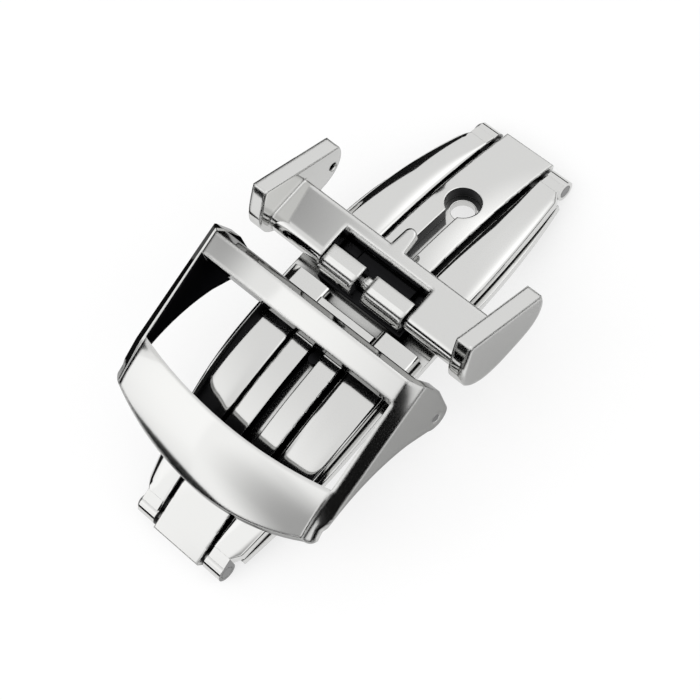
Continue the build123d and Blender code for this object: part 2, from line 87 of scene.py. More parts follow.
class ClaspFinish(bpy.types.PropertyGroup):
    """Colours, gloss and edge sizes of the clasp's steel."""

    steel_colour: bpy.props.FloatVectorProperty(
        name="Steel colour",
        description="Reflection colour of the mirror polished steel",
        subtype="COLOR",
        size=3,
        default=(0.66, 0.66, 0.65),
    )
    pin_colour: bpy.props.FloatVectorProperty(
        name="Pin colour",
        description="Reflection colour of the ground pins",
        subtype="COLOR",
        size=3,
        default=(0.22, 0.22, 0.22),
    )
    # Painted shade: near black, it stands in for the shade and dark reflections deep in gaps, on
    # inner walls and under things
    painted_shade_colour: bpy.props.FloatVectorProperty(
        name="Recess colour",
        description="Colour of the unpolished steel deep in gaps and on inner walls",
        subtype="COLOR",
        size=3,
        default=(0.012, 0.012, 0.013),
    )
    gloss_roughness: bpy.props.FloatProperty(
        name="Gloss roughness",
        description="Roughness of the mirror polish",
        default=0.07,
        min=0.0,
        max=1.0,
    )
    grain_length: bpy.props.FloatProperty(
        name="Grain length",
        description="Size of the finest marks in the polish",
        default=0.05 * MM,
        unit="LENGTH",
    )
    ripple: bpy.props.FloatProperty(
        name="Ripple",
        description="Height of the faint waves that polishing leaves",
        default=0.003 * MM,
        unit="LENGTH",
    )
    ripple_length: bpy.props.FloatProperty(
        name="Ripple length",
        description="Length of those waves",
        default=4.0 * MM,
        unit="LENGTH",
    )
    gap_reach: bpy.props.FloatProperty(
        name="Gap reach",
        description="How close another surface must be for a recess to go dark",
        default=1.2 * MM,
        unit="LENGTH",
    )
    edge_round: bpy.props.FloatProperty(
        name="Edge rounding",
        description="Width of the rounding that polishing gives to sharp edges",
        default=0.12 * MM,
        unit="LENGTH",
    )
    # Inside this side the band's inner walls are painted dark as shade
    slot_side: bpy.props.FloatProperty(
        name="Slot side",
        description="From the middle line to where the band's inner walls, all unpolished, end",
        default=2.0 * MM,
        unit="LENGTH",
    )
    wall_side: bpy.props.FloatProperty(
        name="Wall side",
        description="From the middle line to the inner face of the frame's left wall",
        default=9.2 * MM,
        unit="LENGTH",
    )
    flat_width: bpy.props.FloatProperty(
        name="Flat width",
        description="Width of the flat that polishing leaves along the top of that wall",
        default=0.3 * MM,
        unit="LENGTH",
    )
    flat_lean: bpy.props.FloatProperty(
        name="Flat lean",
        description="How far that flat leans inwards from the wall's slope",
        default=-0.75,
    )
    collar_gap: bpy.props.FloatProperty(
        name="Collar gap",
        description="Gap between the left barrel and the collar beside it",
        default=0.4 * MM,
        unit="LENGTH",
    )
    barrel_radius: bpy.props.FloatProperty(
        name="Barrel radius",
        description="Radius of the packed barrels' rounded fronts",
        default=0.87 * MM,
        unit="LENGTH",
    )
    barrel_roll: bpy.props.FloatProperty(
        name="Barrel roll",
        description="How far the barrels' fronts reach past the packed ones",
        default=0.5 * MM,
        unit="LENGTH",
    )
    roll_start: bpy.props.FloatProperty(
        name="Roll start",
        description="Place along the strap where the barrels' flat tops begin to fall",
        default=3.0 * MM,
        unit="LENGTH",
    )
    roll_lean: bpy.props.FloatProperty(
        name="Roll lean",
        description="Lean of the barrels' surface in front of that place",
        default=-0.33,
    )
    weld: bpy.props.FloatProperty(
        name="Weld",
        description="Corners closer than this are one corner",
        default=0.0005 * MM,
        unit="LENGTH",
        precision=7,
    )
    pin_roughness: bpy.props.FloatProperty(
        name="Pin roughness",
        description="Roughness of the ground pins",
        default=0.2,
        min=0.0,
        max=1.0,
    )
    sharp_angle: bpy.props.FloatProperty(
        name="Sharp angle",
        description="Edges that turn by more than this are rounded",
        default=radians(28),
        unit="ROTATION",
    )


class ClaspBlades(bpy.types.PropertyGroup):
    """Sizes of the arms' crowned strips, which lie on one arch."""

    arch_radius: bpy.props.FloatProperty(
        name="Arch radius",
        description="Radius of the arch that the tops of the strips follow",
        default=47.7 * MM,
        unit="LENGTH",
    )
    thickness: bpy.props.FloatProperty(
        name="Thickness",
        description="Thickness of a strip",
        default=0.95 * MM,
        unit="LENGTH",
    )
    taper_start: bpy.props.FloatProperty(
        name="Taper start",
        description="Where a strip's outer side begins to curve in, from the middle",
        default=5.0 * MM,
        unit="LENGTH",
    )
    shoulder: bpy.props.FloatProperty(
        name="Shoulder",
        description="Where the curved side ends in a shoulder, from the middle",
        default=17.3 * MM,
        unit="LENGTH",
    )
    neck: bpy.props.FloatProperty(
        name="Neck",
        description="Where the strip meets its knuckle, from the middle",
        default=18.0 * MM,
        unit="LENGTH",
    )
    inner_side: bpy.props.FloatProperty(
        name="Inner side",
        description="From the middle line to a strip's inner side",
        default=2.6 * MM,
        unit="LENGTH",
    )
    outer_side: bpy.props.FloatProperty(
        name="Outer side",
        description="From the middle line to a strip's outer side, where it is widest",
        default=6.15 * MM,
        unit="LENGTH",
    )
    shoulder_side: bpy.props.FloatProperty(
        name="Shoulder side",
        description="From the middle line to the outer side at the shoulder",
        default=4.85 * MM,
        unit="LENGTH",
    )
    knuckle_side: bpy.props.FloatProperty(
        name="Knuckle side",
        description="From the middle line to the outer side at the neck",
        default=4.25 * MM,
        unit="LENGTH",
    )
    inner_crown: bpy.props.FloatProperty(
        name="Inner crown",
        description="Power of the section's rounding by the band: 2 is an oval, a high one a box",
        default=3.2,
        min=2.0,
    )
    left_crown: bpy.props.FloatProperty(
        name="Left crown",
        description="The same power on the outer side of the left strips",
        default=2.3,
        min=2.0,
    )
    right_crown: bpy.props.FloatProperty(
        name="Right crown",
        description="The same power on the outer side of the right strips",
        default=5.0,
        min=2.0,
    )
    neck_crown: bpy.props.FloatProperty(
        name="Neck crown",
        description="The same power at the neck",
        default=14.0,
        min=2.0,
    )
    far_tip: bpy.props.FloatProperty(
        name="Far tip",
        description="Where the far arm's strips begin, from the middle",
        default=4.3 * MM,
        unit="LENGTH",
    )
    # Up to here the far strips, inside the crossbar's cutout, are painted near black as shade
    painted_dark_end: bpy.props.FloatProperty(
        name="Dull end",
        description="The far strips are unpolished up to here, inside the crossbar's cutout",
        default=5.4 * MM,
        unit="LENGTH",
    )
    near_tip: bpy.props.FloatProperty(
        name="Near tip",
        description="How far the near arm's strips reach past the middle",
        default=1.27 * MM,
        unit="LENGTH",
    )
    seat_place: bpy.props.FloatProperty(
        name="Seat place",
        description="Place of the groove for the frame's tube, from the middle",
        default=1.4 * MM,
        unit="LENGTH",
    )
    seat_radius: bpy.props.FloatProperty(
        name="Seat radius",
        description="Radius of the groove for the frame's tube",
        default=0.7 * MM,
        unit="LENGTH",
    )
    stations: bpy.props.IntProperty(
        name="Stations",
        description="Sections along a strip",
        default=110,
        min=8,
    )
    points: bpy.props.IntProperty(
        name="Points",
        description="Points round each section",
        default=45,
        min=9,
    )


class ClaspStage(bpy.types.PropertyGroup):
    """Floor, lamps, dark cards and camera."""

    floor_size: bpy.props.FloatProperty(
        name="Floor size",
        description="Side of the square floor",
        default=2.0,
        unit="LENGTH",
    )
    floor_glow: bpy.props.FloatProperty(
        name="Floor glow",
        description="Share of the floor's whiteness that shadows don't touch",
        default=0.72,
        min=0.0,
        max=1.0,
        subtype="FACTOR",
    )
    floor_white: bpy.props.FloatProperty(
        name="Floor white",
        description="Shade of the floor's paint",
        default=0.95,
        min=0.0,
        max=1.0,
        subtype="FACTOR",
    )
    surround_light: bpy.props.FloatProperty(
        name="Surround light",
        description="Share of the surround's whiteness that lights the clasp",
        default=0.85,
        min=0.0,
        max=1.0,
        subtype="FACTOR",
    )
    lamp_power: bpy.props.FloatProperty(
        name="Lamp power",
        description="Power of the large lamp on the framed end's side",
        default=1.1,
    )
    fill_power: bpy.props.FloatProperty(
        name="Fill power",
        description="Power of the smaller lamp on the right",
        default=0.35,
    )
    card_distance: bpy.props.FloatProperty(
        name="Card distance",
        description="How far from the clasp the dark cards stand",
        default=0.25,
        unit="LENGTH",
    )
    card_lift: bpy.props.FloatProperty(
        name="Card lift",
        description="How far the dark cards lie above the floor",
        default=0.3 * MM,
        unit="LENGTH",
    )
    azimuth: bpy.props.FloatProperty(
        name="Azimuth",
        description="Direction of the camera about the vertical",
        default=radians(-20.42),
        unit="ROTATION",
    )
    elevation: bpy.props.FloatProperty(
        name="Elevation",
        description="Height of the camera above the horizon",
        default=radians(65.05),
        unit="ROTATION",
    )
    roll: bpy.props.FloatProperty(
        name="Roll",
        description="Turn of the camera about its own axis",
        default=radians(-29.51),
        unit="ROTATION",
    )
    distance: bpy.props.FloatProperty(
        name="Distance",
        description="From the camera to the point that it looks at",
        default=149.31 * MM,
        unit="LENGTH",
    )
    target: bpy.props.FloatVectorProperty(
        name="Target",
        description="The point that the camera looks at",
        default=(-1.338 * MM, -1.840 * MM, 5.705 * MM),
        size=3,
        subtype="TRANSLATION",
    )
    lens: bpy.props.FloatProperty(
        name="Lens",
        description="Focal length of the camera in millimetres",
        default=107.655,
    )
    sensor: bpy.props.FloatProperty(
        name="Sensor",
        description="Width of the camera's sensor in millimetres",
        default=36.0,
    )


class Wire:
    """A value in a node tree. Python's operators on it add Math nodes."""

    def __init__(self, tree, socket):
        self.tree = tree
        self.socket = socket

    def math(self, operation, *values):
        """One Math node on these values."""
        settings = {"operation": operation}
        return add_node(self.tree, "ShaderNodeMath", settings, dict(enumerate(values)))[0]

    def __add__(self, other):
        return self.math("ADD", self, other)

    __radd__ = __add__

    def __sub__(self, other):
        return self.math("SUBTRACT", self, other)

    def __rsub__(self, other):
        return self.math("SUBTRACT", other, self)

    def __mul__(self, other):
        return self.math("MULTIPLY", self, other)

    __rmul__ = __mul__

    def __truediv__(self, other):
        return self.math("DIVIDE", self, other)

    def __rtruediv__(self, other):
        return self.math("DIVIDE", other, self)

    def __pow__(self, other):
        return self.math("POWER", self, other)

    def __abs__(self):
        return self.math("ABSOLUTE", self)

    def larger(self, other):
        """The larger of the two values."""
        return self.math("MAXIMUM", self, other)

    def sign(self):
        """-1, 0 or 1."""
        return self.math("SIGN", self)

    def above(self, other):
        """1 where this value is the larger one, otherwise 0."""
        return self.math("GREATER_THAN", self, other)

    def clamped(self):
        """The value kept between 0 and 1."""
        return self.math("MINIMUM", self.larger(0), 1)


def add_node(tree, kind, settings=None, sockets=None):
    """Adds a node, its settings first, then its sockets' values or links. Returns its outputs."""
    node = tree.nodes.new(kind)
    for name, value in (settings or {}).items():
        setattr(node, name, value)
    for key, value in (sockets or {}).items():
        if isinstance(value, Wire):
            tree.links.new(value.socket, node.inputs[key])
        else:
            node.inputs[key].default_value = value
    return [Wire(tree, socket) for socket in node.outputs]


def by_name(wires):
    """A node's outputs by their names."""
    return {wire.socket.name: wire for wire in wires}


def new_tree(name):
    """A new material with an empty node tree."""
    material = bpy.data.materials.new(name)
    material.use_nodes = True
    material.node_tree.nodes.clear()
    return material


def opaque(colour):
    """A colour with its alpha."""
    return (*colour, 1.0)


def step(wire, low, high):
    """A soft step from 0 at low to 1 at high."""
    settings = {"interpolation_type": "SMOOTHSTEP"}
    sockets = {"Value": wire, "From Min": low, "From Max": high}
    return add_node(wire.tree, "ShaderNodeMapRange", settings, sockets)[0]


def part_of(wire, axis):
    """One part of a vector: 0, 1 or 2 for x, y or z."""
    return add_node(wire.tree, "ShaderNodeSeparateXYZ", sockets={0: wire})[axis]


# Openness to the surroundings at which a recess's painted shade is whole and at which there is none
SHADE_OPENNESS = (0.12, 0.6)
# The same for faces that are painted dark as shade only where something else hides them
HIDDEN = (0.8, 0.98)
OPENNESS_SAMPLES = 16
# Parts of a face's normal between which it begins to count as upright, downward or inward
UPRIGHT = (0.45, 0.7)
DOWNWARD = (0.4, 0.7)
INWARD = (0.7, 0.9)
# Lengths over which the walls' painted shade ends at the neck and beside the slot
NECK_FADE = 0.18 * MM
SLOT_FADE = 0.04 * MM


def painted_shade_mask(tree, reach, normal, where, dark):
    """1 where shade is painted: narrow gaps and the faces that dark names."""
    finish = bpy.context.scene.clasp_finish
    neck = bpy.context.scene.clasp_blades.neck
    settings = {"samples": OPENNESS_SAMPLES}
    openness = add_node(tree, "ShaderNodeAmbientOcclusion", settings, {"Distance": reach})[1]
    hidden = 1 - step(openness, *HIDDEN)
    side = part_of(where, 1)
    slot = 1 - step(abs(side), finish.slot_side, finish.slot_side + SLOT_FADE)
    inside = 1 - step(abs(part_of(where, 0)), neck, neck + NECK_FADE)
    upright = 1 - step(abs(part_of(normal, 2)), *UPRIGHT)
    downward = step(part_of(normal, 2) * -1, *DOWNWARD)
    inward = step(side.sign() * part_of(normal, 1) * -1, *INWARD)
    # The kinds of faces whose colour is painted dark as shade
    faces = {
        "walls": upright * inside * slot.larger(hidden),
        "inner": inward.larger(downward),
        "under": downward * hidden,
    }
    # Painted shade in narrow gaps, where little of the surroundings is open
    painted_shade = 1 - step(openness, *SHADE_OPENNESS)
    for name in dark:
        painted_shade = painted_shade.larger(faces[name])
    return painted_shade


# Lengths over which the lean of the wall's flat begins and ends, and that of the barrels' fronts
FLAT_START_FADE = 0.03 * MM
FLAT_END_FADE = 0.09 * MM
ROLL_FADE = 0.1 * MM


def surface_lean(where, camber, pitch, forms):
    """The vector by which polishing leans the surface, along and across the strap."""
    finish = bpy.context.scene.clasp_finish
    side = part_of(where, 1)
    tilt = side * camber
    if "flat" in forms:
        start, end = finish.wall_side, finish.wall_side + finish.flat_width
        begun = step(side, start - FLAT_START_FADE, start)
        ended = step(side, end, end + FLAT_END_FADE)
        tilt = tilt + begun * (1 - ended) * (finish.flat_lean - tilt)
    if "roll" in forms:
        start = finish.roll_start
        pitch = (1 - step(part_of(where, 0), start - ROLL_FADE, start)) * finish.roll_lean
    return add_node(where.tree, "ShaderNodeCombineXYZ", sockets={0: pitch, 1: tilt})[0]


BEVEL_SAMPLES = 8
# How much rougher a dark recess is, and how much the finest marks change the roughness
RECESS_ROUGHNESS = 0.25
GRAIN_ROUGHNESS = 0.03


def steel(
    name,
    colour,
    roughness,
    edge_share=1.0,
    gap_share=1.0,
    camber=0.0,
    pitch=0.0,
    grazing=1.0,
    forms=(),
    dark=(),
):
    """Polished steel with soft edges, shade painted into its recesses and the faint ripple that
    polishing leaves.
    """
    finish = bpy.context.scene.clasp_finish
    material = new_tree(name)
    tree = material.node_tree
    place = by_name(add_node(tree, "ShaderNodeTexCoord"))
    where = place["Object"]
    painted_shade = painted_shade_mask(tree, finish.gap_reach * gap_share, place["Normal"], where, dark)
    settings = {"data_type": "RGBA"}
    # Inputs 6 and 7 are the steel's colour and the painted shade's, and output 2 is the mixed one
    sockets = {0: painted_shade, 6: opaque(colour), 7: opaque(finish.painted_shade_colour)}
    colour_mix = add_node(tree, "ShaderNodeMix", settings, sockets)[2]
    sockets = {"Vector": where, "Scale": 1 / finish.ripple_length, "Detail": 1.0}
    waves = add_node(tree, "ShaderNodeTexNoise", sockets=sockets)[0]
    sockets = {"Vector": where, "Scale": 1 / finish.grain_length, "Detail": 3.0}
    grain = add_node(tree, "ShaderNodeTexNoise", sockets=sockets)[0]
    settings = {"samples": BEVEL_SAMPLES}
    sockets = {"Radius": finish.edge_round * edge_share}
    rounded = add_node(tree, "ShaderNodeBevel", settings, sockets)[0]
    sockets = {0: rounded, 1: surface_lean(where, camber, pitch, forms)}
    leaning = add_node(tree, "ShaderNodeVectorMath", {"operation": "ADD"}, sockets)[0]
    sockets = {0: leaning}
    crowned = add_node(tree, "ShaderNodeVectorMath", {"operation": "NORMALIZE"}, sockets)[0]
    sockets = {"Height": waves, "Distance": finish.ripple, "Strength": 1.0, "Normal": crowned}
    bump = add_node(tree, "ShaderNodeBump", sockets=sockets)[0]
    sockets = {
        "Base Color": colour_mix,
        "Metallic": 1.0,
        "Specular Tint": opaque((grazing,) * 3),
        "Roughness": roughness + painted_shade * RECESS_ROUGHNESS + (grain - 0.5) * GRAIN_ROUGHNESS,
        "Normal": bump,
    }
    shader = add_node(tree, "ShaderNodeBsdfPrincipled", sockets=sockets)[0]
    add_node(tree, "ShaderNodeOutputMaterial", sockets={"Surface": shader})
    return material


def seen_directly(tree):
    """1 for rays from the camera and for rays that mirror or pass glass, 0 for the light's own."""
    rays = by_name(add_node(tree, "ShaderNodeLightPath"))
    seen = rays["Is Camera Ray"].larger(rays["Is Glossy Ray"])
    return seen.larger(rays["Is Transmission Ray"])


def cad_shape(node):
    """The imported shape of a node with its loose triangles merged."""
    shape = bmesh.new()
    shape.from_mesh(frame["nodes"][node].data)
    bmesh.ops.remove_doubles(shape, verts=shape.verts, dist=bpy.context.scene.clasp_finish.weld)
    for face in shape.faces:
        face.material_index = POLISHED
    return shape


def rolled_barrel(node):
    """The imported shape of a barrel, its rounded front drawn out towards the frame."""
    finish = bpy.context.scene.clasp_finish
    shape = cad_shape(node)
    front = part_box(node)[0][0]
    for vertex in shape.verts:
        share = max(0.0, 1 - (vertex.co.x - front) / finish.barrel_radius)
        vertex.co.x -= finish.barrel_roll * share
    return shape


def shorter_collar(node):
    """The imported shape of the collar, its left end moved away from the barrel beside it."""
    shape = cad_shape(node)
    low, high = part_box(node)
    for vertex in shape.verts:
        if vertex.co.y > (low[1] + high[1]) / 2:
            vertex.co.y -= bpy.context.scene.clasp_finish.collar_gap
    return shape


def polished_piece(node, material, shape=None):
    """A smooth piece that stands for a node: the node's own shape, or the one given."""
    shape = shape or cad_shape(node)
    mesh = bpy.data.meshes.new(f"{node}_polished")
    for face in shape.faces:
        face.smooth = True
    for edge in shape.edges:
        edge.smooth = edge.calc_face_angle(0) < bpy.context.scene.clasp_finish.sharp_angle
    shape.to_mesh(mesh)
    shape.free()
    mesh.materials.append(material)
    if any(polygon.material_index != POLISHED for polygon in mesh.polygons):
        mesh.materials.append(finish_material("dull_steel"))
        mesh.materials.append(finish_material("ground_steel"))
    piece = bpy.data.objects.new(f"{node}_polished", mesh)
    bpy.context.scene.collection.objects.link(piece)
    weighted = piece.modifiers.new("Flat faces", "WEIGHTED_NORMAL")
    weighted.keep_sharp = True
    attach(piece, BODY_OF[node])
    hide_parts(node)


# Share of the grazing reflection where faces seen at a low angle stay dark
LOW_GRAZING = 0.4
# How each finish departs from plain polished steel: edge rounding and gap reach as shares of the
# usual ones, lean of the surface across per metre from the middle line, lean along the strap, share
# of the grazing reflection, leaning forms, and the faces painted dark as shade
STEELS = {
    "plate_steel": {"gap_share": 2.0, "dark": ("under",)},
    "far_band_steel": {"edge_share": 1.5, "camber": 45.0, "dark": ("walls", "under")},
    "near_band_steel": {"edge_share": 1.5, "grazing": LOW_GRAZING, "dark": ("walls", "under")},
    "strip_steel": {"edge_share": 0.25, "dark": ("under",)},
    "barrel_steel": {"edge_share": 4.0, "forms": ("roll",)},
    "crossbar_steel": {
        "edge_share": 3.0,
        "gap_share": 0.6,
        "pitch": 0.07,
        "grazing": 0.8,
        "dark": ("under",),
    },
    "frame_steel": {
        "edge_share": 3.5,
        "camber": 17.0,
        "grazing": LOW_GRAZING,
        "forms": ("flat",),
        "dark": ("inner",),
    },
}


def finish_material(name):
    """The named finish, made the first time that it is asked for."""
    finish = bpy.context.scene.clasp_finish
    if name in bpy.data.materials:
        return bpy.data.materials[name]
    if name in STEELS:
        return steel(name, finish.steel_colour, finish.gloss_roughness, **STEELS[name])
    # The near-black finish that paints shade, with the pins' roughness
    if name == "dull_steel":
        return steel(name, finish.painted_shade_colour, finish.pin_roughness, grazing=LOW_GRAZING)
    return steel(name, finish.pin_colour, finish.pin_roughness)


# The blade's inputs, by name and kind
BLADE_INPUTS = (
    ("Tip", "Float"),
    ("Neck", "Float"),
    ("Taper start", "Float"),
    ("Shoulder", "Float"),
    ("Inner side", "Float"),
    ("Outer side", "Float"),
    ("Shoulder side", "Float"),
    ("Knuckle side", "Float"),
    ("Arch radius", "Float"),
    ("Arch centre", "Float"),
    ("Thickness", "Float"),
    ("Inner crown", "Float"),
    ("Outer crown", "Float"),
    ("Neck crown", "Float"),
    ("Side", "Float"),
    ("End", "Float"),
    ("Seat place", "Float"),
    ("Seat height", "Float"),
    ("Seat radius", "Float"),
    ("Stations", "Int"),
    ("Points", "Int"),
    ("Weld", "Float"),
    ("Material", "Material"),
)

# How late the inner side's crown turns into the neck's, and the sides of the groove's rod
INNER_LATENESS = 16
ROD_SIDES = 64


def blade_tree():
    """Geometry nodes that sweep a crowned section along the arch, between a strip's two sides."""
    tree = bpy.data.node_groups.new("crowned_blade", "GeometryNodeTree")
    for name, kind in BLADE_INPUTS:
        tree.interface.new_socket(name, in_out="INPUT", socket_type=f"NodeSocket{kind}")
    tree.interface.new_socket("Geometry", in_out="OUTPUT", socket_type="NodeSocketGeometry")
    given = by_name(add_node(tree, "NodeGroupInput"))
    stations = given["Stations"]
    sockets = {"Size X": 1.0, "Size Y": 1.0, "Vertices X": stations, "Vertices Y": given["Points"]}
    grid = add_node(tree, "GeometryNodeMeshGrid", sockets=sockets)[0]
    place = add_node(tree, "GeometryNodeInputPosition")[0]
    row = (part_of(place, 0) + 0.5) * (stations - 1)
    turn = (part_of(place, 1) + 0.5) * (2 * pi)

    # The first and last rows close the ends: they shrink to one point
    open_row = row.above(0.5) * (1 - row.above(stations - 1.5))
    x = given["Tip"] + (given["Neck"] - given["Tip"]) * ((row - 1) / (stations - 3)).clamped()

    # The outer side: straight, then an arc tangent to it, then the shoulder
    taper_length = given["Shoulder"] - given["Taper start"]
    taper_depth = given["Outer side"] - given["Shoulder side"]
    bow = (taper_length * taper_length + taper_depth * taper_depth) / (taper_depth * 2)
    run = ((x - given["Taper start"]) / taper_length).clamped() * taper_length
    fall = bow - (bow * bow - run * run) ** 0.5
    drop = ((x - given["Shoulder"]) / (given["Neck"] - given["Shoulder"])).clamped()
    outer = given["Outer side"] - fall - drop * (given["Shoulder side"] - given["Knuckle side"])

    # The section: a rounded box whose power grows towards the neck
    across = turn.math("SINE", turn)
    outward = across.above(0)
    inner_share = (x / given["Neck"]) ** INNER_LATENESS
    share = inner_share + (drop * drop - inner_share) * outward
    crown = given["Inner crown"] + (given["Outer crown"] - given["Inner crown"]) * outward
    power = crown + (given["Neck crown"] - crown) * share
    height = (1 - abs(across) ** power).clamped() ** (1 / power)
    upward = turn.math("COSINE", turn).sign() * height * open_row
    half = given["Thickness"] / 2
    middle = (given["Inner side"] + outer) / 2
    y = middle + (outer - given["Inner side"]) / 2 * across * open_row
    radius = given["Arch radius"] - half + half * upward
    z = given["Arch centre"] + (radius * radius - x * x) ** 0.5
    sockets = {0: x * given["End"], 1: y * given["Side"], 2: z}
    spot = add_node(tree, "ShaderNodeCombineXYZ", sockets=sockets)[0]
    sockets = {"Geometry": grid, "Position": spot}
    blade = add_node(tree, "GeometryNodeSetPosition", sockets=sockets)[0]
    sockets = {"Geometry": blade, "Distance": given["Weld"]}
    blade = add_node(tree, "GeometryNodeMergeByDistance", sockets=sockets)[0]

    # The groove for the frame's tube, cut by a rod that reaches past both sides
    length = given["Outer side"] * 4
    sockets = {"Radius": given["Seat radius"], "Depth": length, "Vertices": ROD_SIDES}
    rod = add_node(tree, "GeometryNodeMeshCylinder", sockets=sockets)[0]
    sockets = {0: given["Seat place"], 2: given["Seat height"]}
    seat = add_node(tree, "ShaderNodeCombineXYZ", sockets=sockets)[0]
    sockets = {"Geometry": rod, "Translation": seat, "Rotation": (radians(90), 0.0, 0.0)}
    rod = add_node(tree, "GeometryNodeTransform", sockets=sockets)[0]
    settings = {"operation": "DIFFERENCE", "solver": "EXACT"}
    blade = add_node(tree, "GeometryNodeMeshBoolean", settings, {0: blade, 1: rod})[0]
    blade = add_node(tree, "GeometryNodeRealizeInstances", sockets={0: blade})[0]
    sockets = {"Geometry": blade, "Material": given["Material"]}
    blade = add_node(tree, "GeometryNodeSetMaterial", sockets=sockets)[0]
    add_node(tree, "NodeGroupOutput", sockets={0: blade})
    return tree


def nodes_mesh(tree, values):
    """The plain mesh that a geometry node tree makes with these inputs."""
    carrier = bpy.data.objects.new("carrier", bpy.data.meshes.new("carrier"))
    bpy.context.scene.collection.objects.link(carrier)
    modifier = carrier.modifiers.new("Nodes", "NODES")
    modifier.node_group = tree
    for item in tree.interface.items_tree:
        if item.in_out == "INPUT":
            modifier[item.identifier] = values[item.name]
    evaluated = carrier.evaluated_get(bpy.context.evaluated_depsgraph_get())
    mesh = bpy.data.meshes.new_from_object(evaluated)
    carrier.modifiers.remove(modifier)
    bpy.data.objects.remove(carrier)
    return mesh


def crowned_strip(tree, node, material):
    """One strip of an arm: the crowned blade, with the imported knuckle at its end."""
    sizes = bpy.context.scene.clasp_blades
    finish = bpy.context.scene.clasp_finish
    end = 1 if node.startswith("far") else -1
    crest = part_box("near_left_strip")[1][2]
    values = {
        "Tip": sizes.far_tip if end > 0 else -sizes.near_tip,
        "Neck": sizes.neck,
        "Taper start": sizes.taper_start,
        "Shoulder": sizes.shoulder,
        "Inner side": sizes.inner_side,
        "Outer side": sizes.outer_side,
        "Shoulder side": sizes.shoulder_side,
        "Knuckle side": sizes.knuckle_side,
        "Arch radius": sizes.arch_radius,
        "Arch centre": crest - sizes.arch_radius,
        "Thickness": sizes.thickness,
        "Inner crown": sizes.inner_crown,
        "Outer crown": sizes.left_crown if "left" in node else sizes.right_crown,
        "Neck crown": sizes.neck_crown,
        "Side": 1.0 if "left" in node else -1.0,
        "End": float(end),
        "Seat place": -sizes.seat_place,
        "Seat height": crest,
        "Seat radius": sizes.seat_radius,
        "Stations": sizes.stations,
        "Points": sizes.points,
        "Weld": finish.weld,
        "Material": material,
    }
    blade = nodes_mesh(tree, values)
    shape = cad_shape(node)
    bmesh.ops.bisect_plane(
        shape,
        geom=shape.verts[:] + shape.edges[:] + shape.faces[:],
        plane_co=(end * sizes.neck, 0, 0),
        plane_no=(end, 0, 0),
        clear_inner=True,
    )
    bmesh.ops.holes_fill(shape, edges=[edge for edge in shape.edges if edge.is_boundary])
    shape.from_mesh(blade)
    bpy.data.meshes.remove(blade)
    bmesh.ops.recalc_face_normals(shape, faces=shape.faces)

    # The far tips inside the cutout are painted near black as shade, and the near knuckles' ends
    # are ground
    for face in shape.faces:
        x = face.calc_center_median().x
        face.material_index = POLISHED
        if end > 0 and x < sizes.painted_dark_end and face.normal.z > UNDERSIDE:
            face.material_index = PAINTED_DARK
        elif x < -sizes.neck and abs(face.normal.y) > END_FACE:
            face.material_index = GROUND
    polished_piece(node, material, shape)


class ClaspBase(bpy.types.Operator):
    """Adds the arched plate and the two halves of its raised band"""

    bl_idname = "clasp.base"
    bl_label = "Base and band"

    def execute(self, context):
        polished_piece("base_plate", finish_material("plate_steel"))
        for node in ("far_band", "near_band"):
            polished_piece(node, finish_material(f"{node}_steel"))
        return {"FINISHED"}


class ClaspArms(bpy.types.Operator):
    """Adds the strips and bridges of both folding arms"""

    bl_idname = "clasp.arms"
    bl_label = "Folding arms"

    def execute(self, context):
        tree = blade_tree()
        for node in BODIES["far_arm"] + BODIES["near_arm"]:
            if node.endswith("strip"):
                crowned_strip(tree, node, finish_material("strip_steel"))
        bridge = cad_shape("far_bridge")
        # The far bridge's faces, but for its undersides, are painted near black as shade
        for face in bridge.faces:
            face.material_index = PAINTED_DARK if face.normal.z > UNDERSIDE else POLISHED
        polished_piece("far_bridge", finish_material("strip_steel"), bridge)
        polished_piece("near_bridge", finish_material("plate_steel"))
        return {"FINISHED"}


class ClaspBarrels(bpy.types.Operator):
    """Adds the hinge barrels, the collar between them and the frame's tube"""

    bl_idname = "clasp.barrels"
    bl_label = "Hinge barrels"

    def execute(self, context):
        material = finish_material("barrel_steel")
        for node in ("left_barrel", "right_barrel"):
            polished_piece(node, material, rolled_barrel(node))
        polished_piece("frame_tube", finish_material("strip_steel"))
        polished_piece("middle_collar", material, shorter_collar("middle_collar"))
        return {"FINISHED"}


class ClaspPins(bpy.types.Operator):
    """Adds the hinge pins and the catches"""

    bl_idname = "clasp.pins"
    bl_label = "Pins and catches"

    def execute(self, context):
        for node, slot in SLOT_OF.items():
            if slot == "pin_steel":
                # The catches take the near-black painted finish, the pins the ground one
                finish = "dull_steel" if node.endswith("catch") else "ground_steel"
                polished_piece(node, finish_material(finish))
        return {"FINISHED"}


class ClaspCrossbar(bpy.types.Operator):
    """Adds the crossbar with its two ears"""

    bl_idname = "clasp.crossbar"
    bl_label = "Crossbar"

    def execute(self, context):
        polished_piece("crossbar", finish_material("crossbar_steel"))
        return {"FINISHED"}


class ClaspFrame(bpy.types.Operator):
    """Adds the buckle frame"""

    bl_idname = "clasp.frame"
    bl_label = "Buckle frame"

    def execute(self, context):
        polished_piece("frame", finish_material("frame_steel"))
        return {"FINISHED"}


def camera_axes(stage):
    """The camera's right, up and back directions."""
    turn, lift = stage.azimuth, stage.elevation
    back = Vector((sin(turn) * cos(lift), -cos(turn) * cos(lift), sin(lift)))
    level = Vector((cos(turn), sin(turn), 0))
    upright = back.cross(level)
    right = level * cos(stage.roll) + upright * sin(stage.roll)
    up = upright * cos(stage.roll) - level * sin(stage.roll)
    return right, up, back


